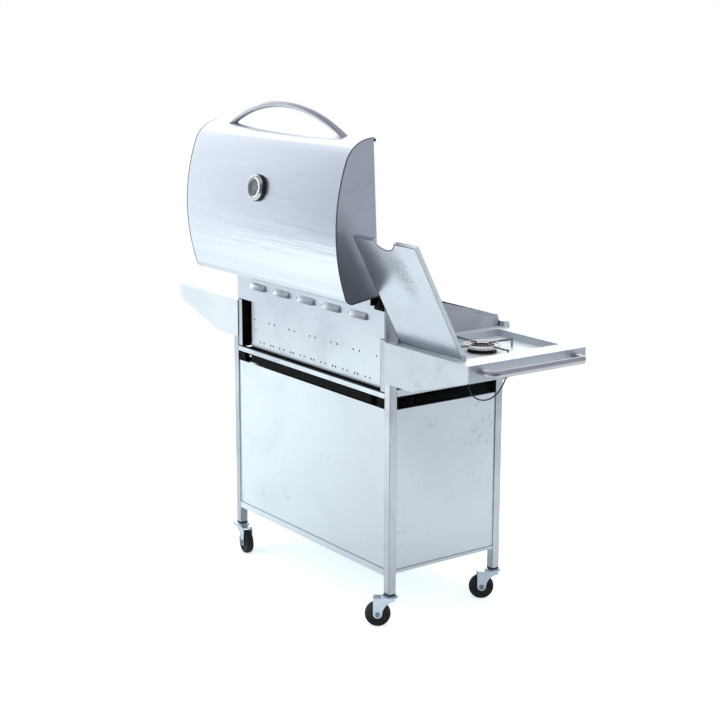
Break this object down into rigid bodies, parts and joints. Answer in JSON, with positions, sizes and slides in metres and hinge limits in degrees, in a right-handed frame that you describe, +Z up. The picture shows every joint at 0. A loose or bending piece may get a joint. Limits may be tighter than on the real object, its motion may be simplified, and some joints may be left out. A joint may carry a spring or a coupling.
{
  "type": "gas grill",
  "caption": "Gas grill on a caster cart: hinged hood with thermometer, burner knobs, lidded side burner, side shelves, slide-out grease tray and a cabinet with doors.",
  "frame": {"origin": "on the floor, midway between the caster stems", "axes": "+X the user's right at the controls, +Y the rear, +Z up"},
  "size_m": [1.5685, 0.6472, 1.4788],
  "materials": {
    "stainless": "brushed",
    "polished": "polished",
    "black_paint": "satin",
    "black_plastic": "matte",
    "cast_iron": "matte",
    "wire": "bright",
    "supply": "satin",
    "zinc": "zinc plated",
    "tread": "matte",
    "rubber": "matte",
    "dial": "matte",
    "pointer": "gloss",
    "lens": "clear"
  },
  "bodies": {
    "cart": {"bottom_shelf": "stainless", "burner_tub": "stainless", "burner_tubes": "stainless", "cart_posts": "stainless", "cart_rails": "stainless", "control_panel": "stainless", "cooking_grates": "cast_iron", "door_pivots": "stainless", "firebox_walls": "stainless", "gas_manifold": "supply", "heat_tents": "stainless", "hood_hinge_brackets": "stainless", "igniter_lead": "rubber", "igniter_switch": "black_paint", "knob_bezels": "polished", "lead_grommets": "rubber", "louver_band": "stainless", "post_plugs": "black_plastic", "pot_support": "wire", "rear_panel": "stainless", "rear_screws": "stainless", "right_shelf": "stainless", "side_burner_body": "cast_iron", "side_burner_cap": "cast_iron", "side_burner_shelf": "stainless", "side_lid_hinges": "stainless", "side_panels": "stainless", "towel_bar": "polished", "tray_runners": "black_paint", "warming_rack": "wire"},
    "hood": {"hood_shell": "polished", "hood_end_caps": "polished", "hood_handle": "polished", "hood_bumpers": "rubber", "hood_hinge_straps": "black_paint", "thermometer_case": "polished", "thermometer_dial": "dial", "thermometer_lens": "lens"},
    "thermometer_needle": {"thermometer_needle": "pointer"},
    "side_burner_lid": {"side_burner_lid": "stainless"},
    "left_door": {"left_door": "stainless"},
    "right_door": {"right_door": "stainless"},
    "grease_tray": {"grease_tray": "black_paint"},
    "side_burner_knob": {"side_burner_knob": "black_plastic"},
    "igniter_button": {"igniter_button": "black_plastic"},
    "burner_knob_1": {"burner_knob_1": "black_plastic"},
    "burner_knob_2": {"burner_knob_2": "black_plastic"},
    "burner_knob_3": {"burner_knob_3": "black_plastic"},
    "burner_knob_4": {"burner_knob_4": "black_plastic"},
    "burner_knob_5": {"burner_knob_5": "black_plastic"},
    "rear_left_caster": {"rear_left_caster_fork": "zinc"},
    "rear_left_wheel": {"rear_left_caster_wheel": "tread"},
    "front_left_caster": {"front_left_caster_fork": "zinc"},
    "front_left_wheel": {"front_left_caster_wheel": "tread"},
    "rear_right_caster": {"rear_right_caster_fork": "zinc"},
    "rear_right_wheel": {"rear_right_caster_wheel": "tread"},
    "rear_right_brake": {"rear_right_caster_brake": "black_plastic"},
    "front_right_caster": {"front_right_caster_fork": "zinc"},
    "front_right_wheel": {"front_right_caster_wheel": "tread"},
    "front_right_brake": {"front_right_caster_brake": "black_plastic"}
  },
  "joints": [
    {"name": "hood_hinge", "type": "hinge", "parent": "cart", "child": "hood", "pos_m": [0, 0.215, 0.97], "axis": [1, 0, 0], "range_deg": [0, 107.5]},
    {"name": "thermometer_pointer", "type": "hinge", "parent": "hood", "child": "thermometer_needle", "pos_m": [0, 0.36887, 1.23571], "axis": [0, -0.9883, -0.1523], "range_deg": [0, 270], "stiffness_Nm_per_rad": 0.0005, "springref_deg": -11.46},
    {"name": "side_lid_hinge", "type": "hinge", "parent": "cart", "child": "side_burner_lid", "pos_m": [-0.5595, 0.176, 0.842], "axis": [1, 0, 0], "range_deg": [0, 117.4]},
    {"name": "right_door_hinge", "type": "hinge", "parent": "cart", "child": "right_door", "pos_m": [0.3805, -0.198, 0.421], "axis": [0, 0, 1], "range_deg": [0, 105]},
    {"name": "left_door_hinge", "type": "hinge", "parent": "cart", "child": "left_door", "pos_m": [-0.3805, -0.198, 0.421], "axis": [0, 0, -1], "range_deg": [0, 105]},
    {"name": "grease_tray_slide", "type": "slide", "parent": "cart", "child": "grease_tray", "axis": [0, 1, 0], "range_m": [0, 0.3]},
    {"name": "igniter_press", "type": "slide", "parent": "cart", "child": "igniter_button", "axis": [0, 1, 0], "range_m": [0, 0.005], "stiffness_N_per_m": 400, "springref_m": -0.002},
    {"name": "side_burner_valve", "type": "hinge", "parent": "cart", "child": "side_burner_knob", "pos_m": [-0.5595, -0.207, 0.79], "axis": [0, -1, 0], "range_deg": [0, 225]},
    {"name": "burner_valve_1", "type": "hinge", "parent": "cart", "child": "burner_knob_1", "pos_m": [-0.225, -0.228, 0.745], "axis": [0, -1, 0], "range_deg": [0, 225]},
    {"name": "burner_valve_2", "type": "hinge", "parent": "cart", "child": "burner_knob_2", "pos_m": [-0.1125, -0.228, 0.745], "axis": [0, -1, 0], "range_deg": [0, 225]},
    {"name": "burner_valve_3", "type": "hinge", "parent": "cart", "child": "burner_knob_3", "pos_m": [0, -0.228, 0.745], "axis": [0, -1, 0], "range_deg": [0, 225]},
    {"name": "burner_valve_4", "type": "hinge", "parent": "cart", "child": "burner_knob_4", "pos_m": [0.1125, -0.228, 0.745], "axis": [0, -1, 0], "range_deg": [0, 225]},
    {"name": "burner_valve_5", "type": "hinge", "parent": "cart", "child": "burner_knob_5", "pos_m": [0.225, -0.228, 0.745], "axis": [0, -1, 0], "range_deg": [0, 225]},
    {"name": "rear_left_swivel", "type": "hinge", "parent": "cart", "child": "rear_left_caster", "pos_m": [-0.4025, 0.193, 0.095], "axis": [0, 0, 1], "continuous": true},
    {"name": "rear_left_roll", "type": "hinge", "parent": "rear_left_caster", "child": "rear_left_wheel", "pos_m": [-0.38157, 0.21979, 0.0375], "axis": [-0.788, 0.6157, 0], "continuous": true},
    {"name": "front_left_swivel", "type": "hinge", "parent": "cart", "child": "front_left_caster", "pos_m": [-0.4025, -0.193, 0.095], "axis": [0, 0, 1], "continuous": true},
    {"name": "front_left_roll", "type": "hinge", "parent": "front_left_caster", "child": "front_left_wheel", "pos_m": [-0.38349, -0.16481, 0.0375], "axis": [-0.829, 0.5592, 0], "continuous": true},
    {"name": "rear_right_swivel", "type": "hinge", "parent": "cart", "child": "rear_right_caster", "pos_m": [0.4025, 0.193, 0.095], "axis": [0, 0, 1], "continuous": true},
    {"name": "rear_right_roll", "type": "hinge", "parent": "rear_right_caster", "child": "rear_right_wheel", "pos_m": [0.36902, 0.1989, 0.0375], "axis": [-0.1736, -0.9848, 0], "continuous": true},
    {"name": "rear_right_brake_pedal", "type": "hinge", "parent": "rear_right_caster", "child": "rear_right_brake", "pos_m": [0.4222, 0.18953, 0.0807], "axis": [0.1736, 0.9848, 0], "range_deg": [0, 20]},
    {"name": "front_right_swivel", "type": "hinge", "parent": "cart", "child": "front_right_caster", "pos_m": [0.4025, -0.193, 0.095], "axis": [0, 0, 1], "continuous": true},
    {"name": "front_right_roll", "type": "hinge", "parent": "front_right_caster", "child": "front_right_wheel", "pos_m": [0.37169, -0.20737, 0.0375], "axis": [0.4226, -0.9063, 0], "continuous": true},
    {"name": "front_right_brake_pedal", "type": "hinge", "parent": "front_right_caster", "child": "front_right_brake", "pos_m": [0.42063, -0.18455, 0.0807], "axis": [-0.4226, 0.9063, 0], "range_deg": [0, 20]}
  ]
}
